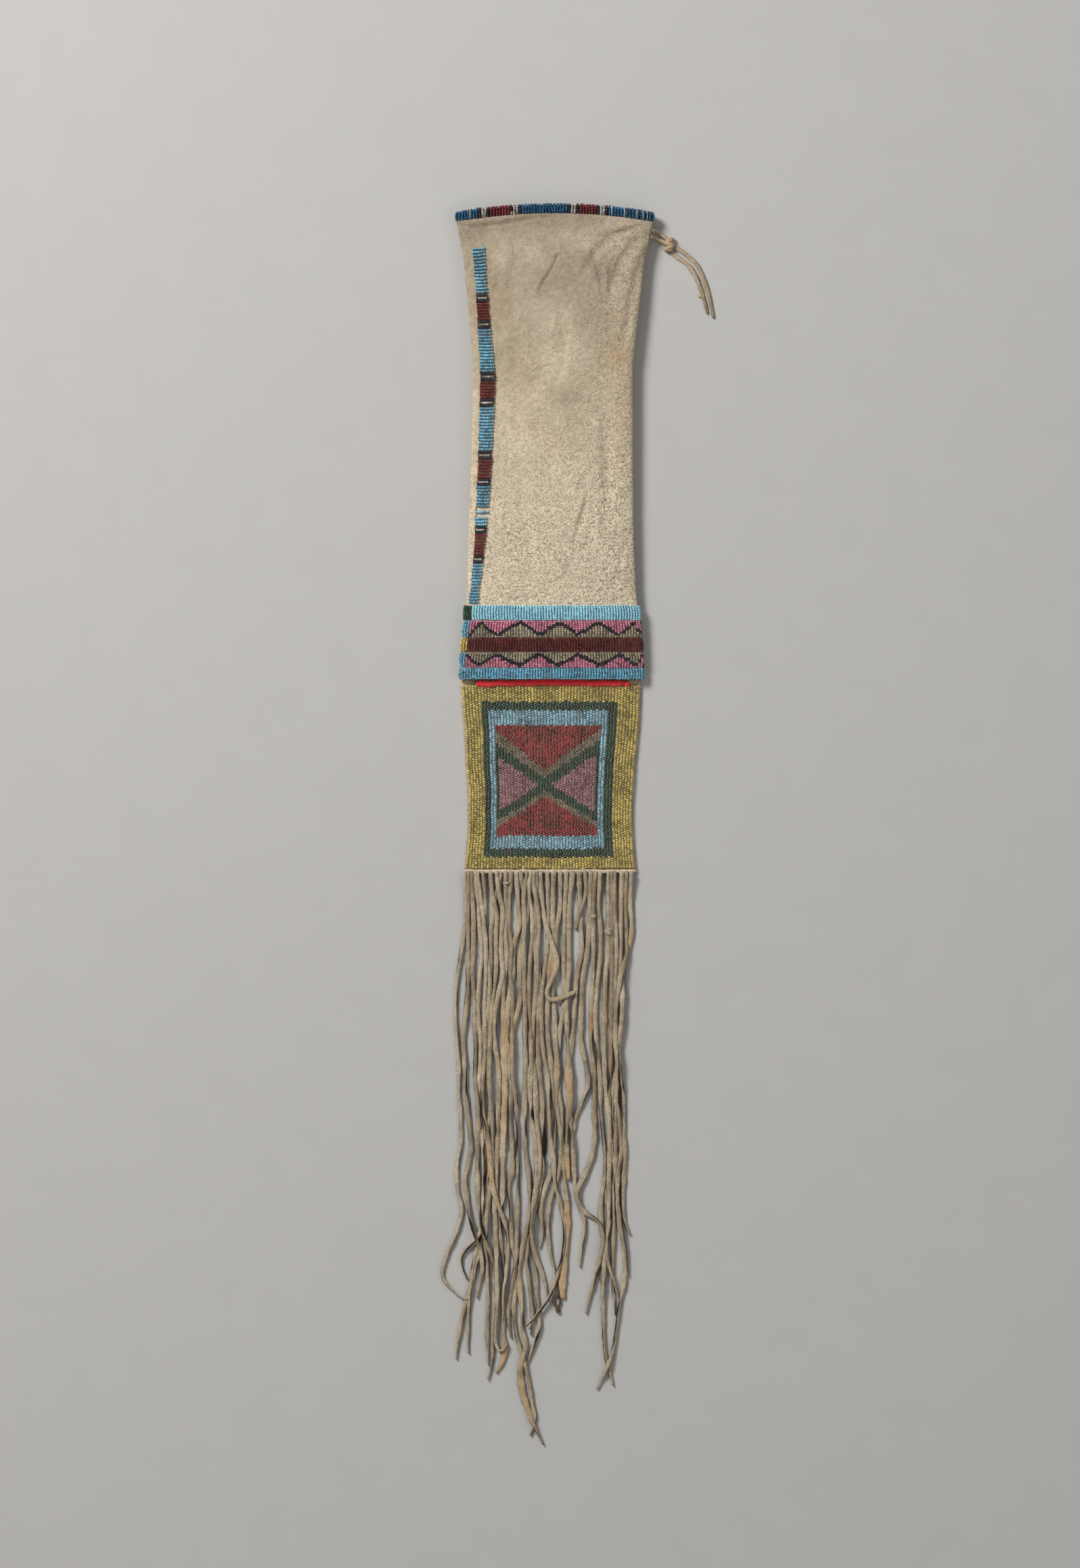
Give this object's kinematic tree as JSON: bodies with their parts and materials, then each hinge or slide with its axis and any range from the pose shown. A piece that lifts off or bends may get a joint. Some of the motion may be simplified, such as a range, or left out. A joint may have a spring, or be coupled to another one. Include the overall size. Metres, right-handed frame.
{
  "type": "pipe bag",
  "caption": "Flat hide tube bag, open at the top, with a beaded rim, strips and band, a woven bead panel below it and a long hide fringe; lies on its back.",
  "frame": {"origin": "On the floor under the middle of the bag's bounding box, without the fringe thongs and the tie.", "axes": "+Y along the bag towards its mouth, +X to the right when its front is seen with the mouth up, +Z out of its front, up from the floor it lies on."},
  "size_m": [0.2043, 0.9186, 0.0167],
  "materials": {
    "pouch_hide": "soft tanned hide, suede side out",
    "rim_beads": "rolled glass seed beads, blue with navy, white and red stretches",
    "strip_front_beads": "glass seed beads in rows, light blue with white, navy and red fields",
    "strip_back_beads": "glass seed beads in rows, light blue with white, navy and red fields",
    "lane_light_blue": "lane-stitched glass seed beads",
    "lane_pink_over_grey": "lane-stitched glass seed beads, pink over grey with a navy zigzag",
    "lane_maroon": "lane-stitched glass seed beads",
    "lane_grey_over_pink": "lane-stitched glass seed beads, grey over pink with a navy zigzag",
    "lane_light_blue_lower": "lane-stitched glass seed beads",
    "red_wool": "twisted wool yarn",
    "panel_backing_hide": "soft tanned hide",
    "mustard_beads": "woven glass seed beads",
    "green_frame_beads": "woven glass seed beads",
    "pale_blue_frame_beads": "woven glass seed beads",
    "red_upper_beads": "woven glass seed beads",
    "red_lower_beads": "woven glass seed beads",
    "dusty_pink_left_beads": "woven glass seed beads",
    "dusty_pink_right_beads": "woven glass seed beads",
    "green_cross_beads": "woven glass seed beads",
    "grey_upper_beads": "woven glass seed beads",
    "grey_lower_beads": "woven glass seed beads",
    "header_hide": "soft tanned hide",
    "thong_hide": "weathered hide thong, grey-brown with darker specks",
    "tie_hide": "weathered hide thong"
  },
  "bodies": {
    "root": {"hide_pouch": "pouch_hide", "rim_beading": "rim_beads", "side_strip_front": "strip_front_beads", "side_strip_back": "strip_back_beads", "band_lane_1": "lane_light_blue", "band_lane_2": "lane_pink_over_grey", "band_lane_3": "lane_maroon", "band_lane_4": "lane_grey_over_pink", "band_lane_5": "lane_light_blue_lower", "red_wool_piping": "red_wool", "panel_hide": "panel_backing_hide", "panel_yellow_border": "mustard_beads", "panel_green_frame": "green_frame_beads", "panel_blue_frame": "pale_blue_frame_beads", "panel_red_upper": "red_upper_beads", "panel_red_lower": "red_lower_beads", "panel_pink_left": "dusty_pink_left_beads", "panel_pink_right": "dusty_pink_right_beads", "panel_green_cross": "green_cross_beads", "panel_grey_upper": "grey_upper_beads", "panel_grey_lower": "grey_lower_beads", "fringe_header": "header_hide", "thong_01": "thong_hide", "thong_02": "thong_hide", "thong_03": "thong_hide", "thong_04": "thong_hide", "thong_05": "thong_hide", "thong_06": "thong_hide", "thong_07": "thong_hide", "thong_08": "thong_hide", "thong_09": "thong_hide", "thong_10": "thong_hide", "thong_11": "thong_hide", "thong_12": "thong_hide", "thong_13": "thong_hide", "thong_14": "thong_hide", "thong_15": "thong_hide", "thong_16": "thong_hide", "thong_17": "thong_hide", "thong_18": "thong_hide", "thong_19": "thong_hide", "thong_20": "thong_hide", "thong_21": "thong_hide", "thong_22": "thong_hide", "thong_23": "thong_hide", "thong_24": "thong_hide", "thong_25": "thong_hide", "thong_26": "thong_hide", "thong_27": "thong_hide", "thong_28": "thong_hide", "thong_29": "thong_hide", "thong_30": "thong_hide", "thong_31": "thong_hide", "thong_32": "thong_hide", "thong_33": "thong_hide", "thong_34": "thong_hide", "tie_knot": "tie_hide", "tie_tail_long": "tie_hide", "tie_tail_short": "tie_hide"}
  },
  "joints": []
}
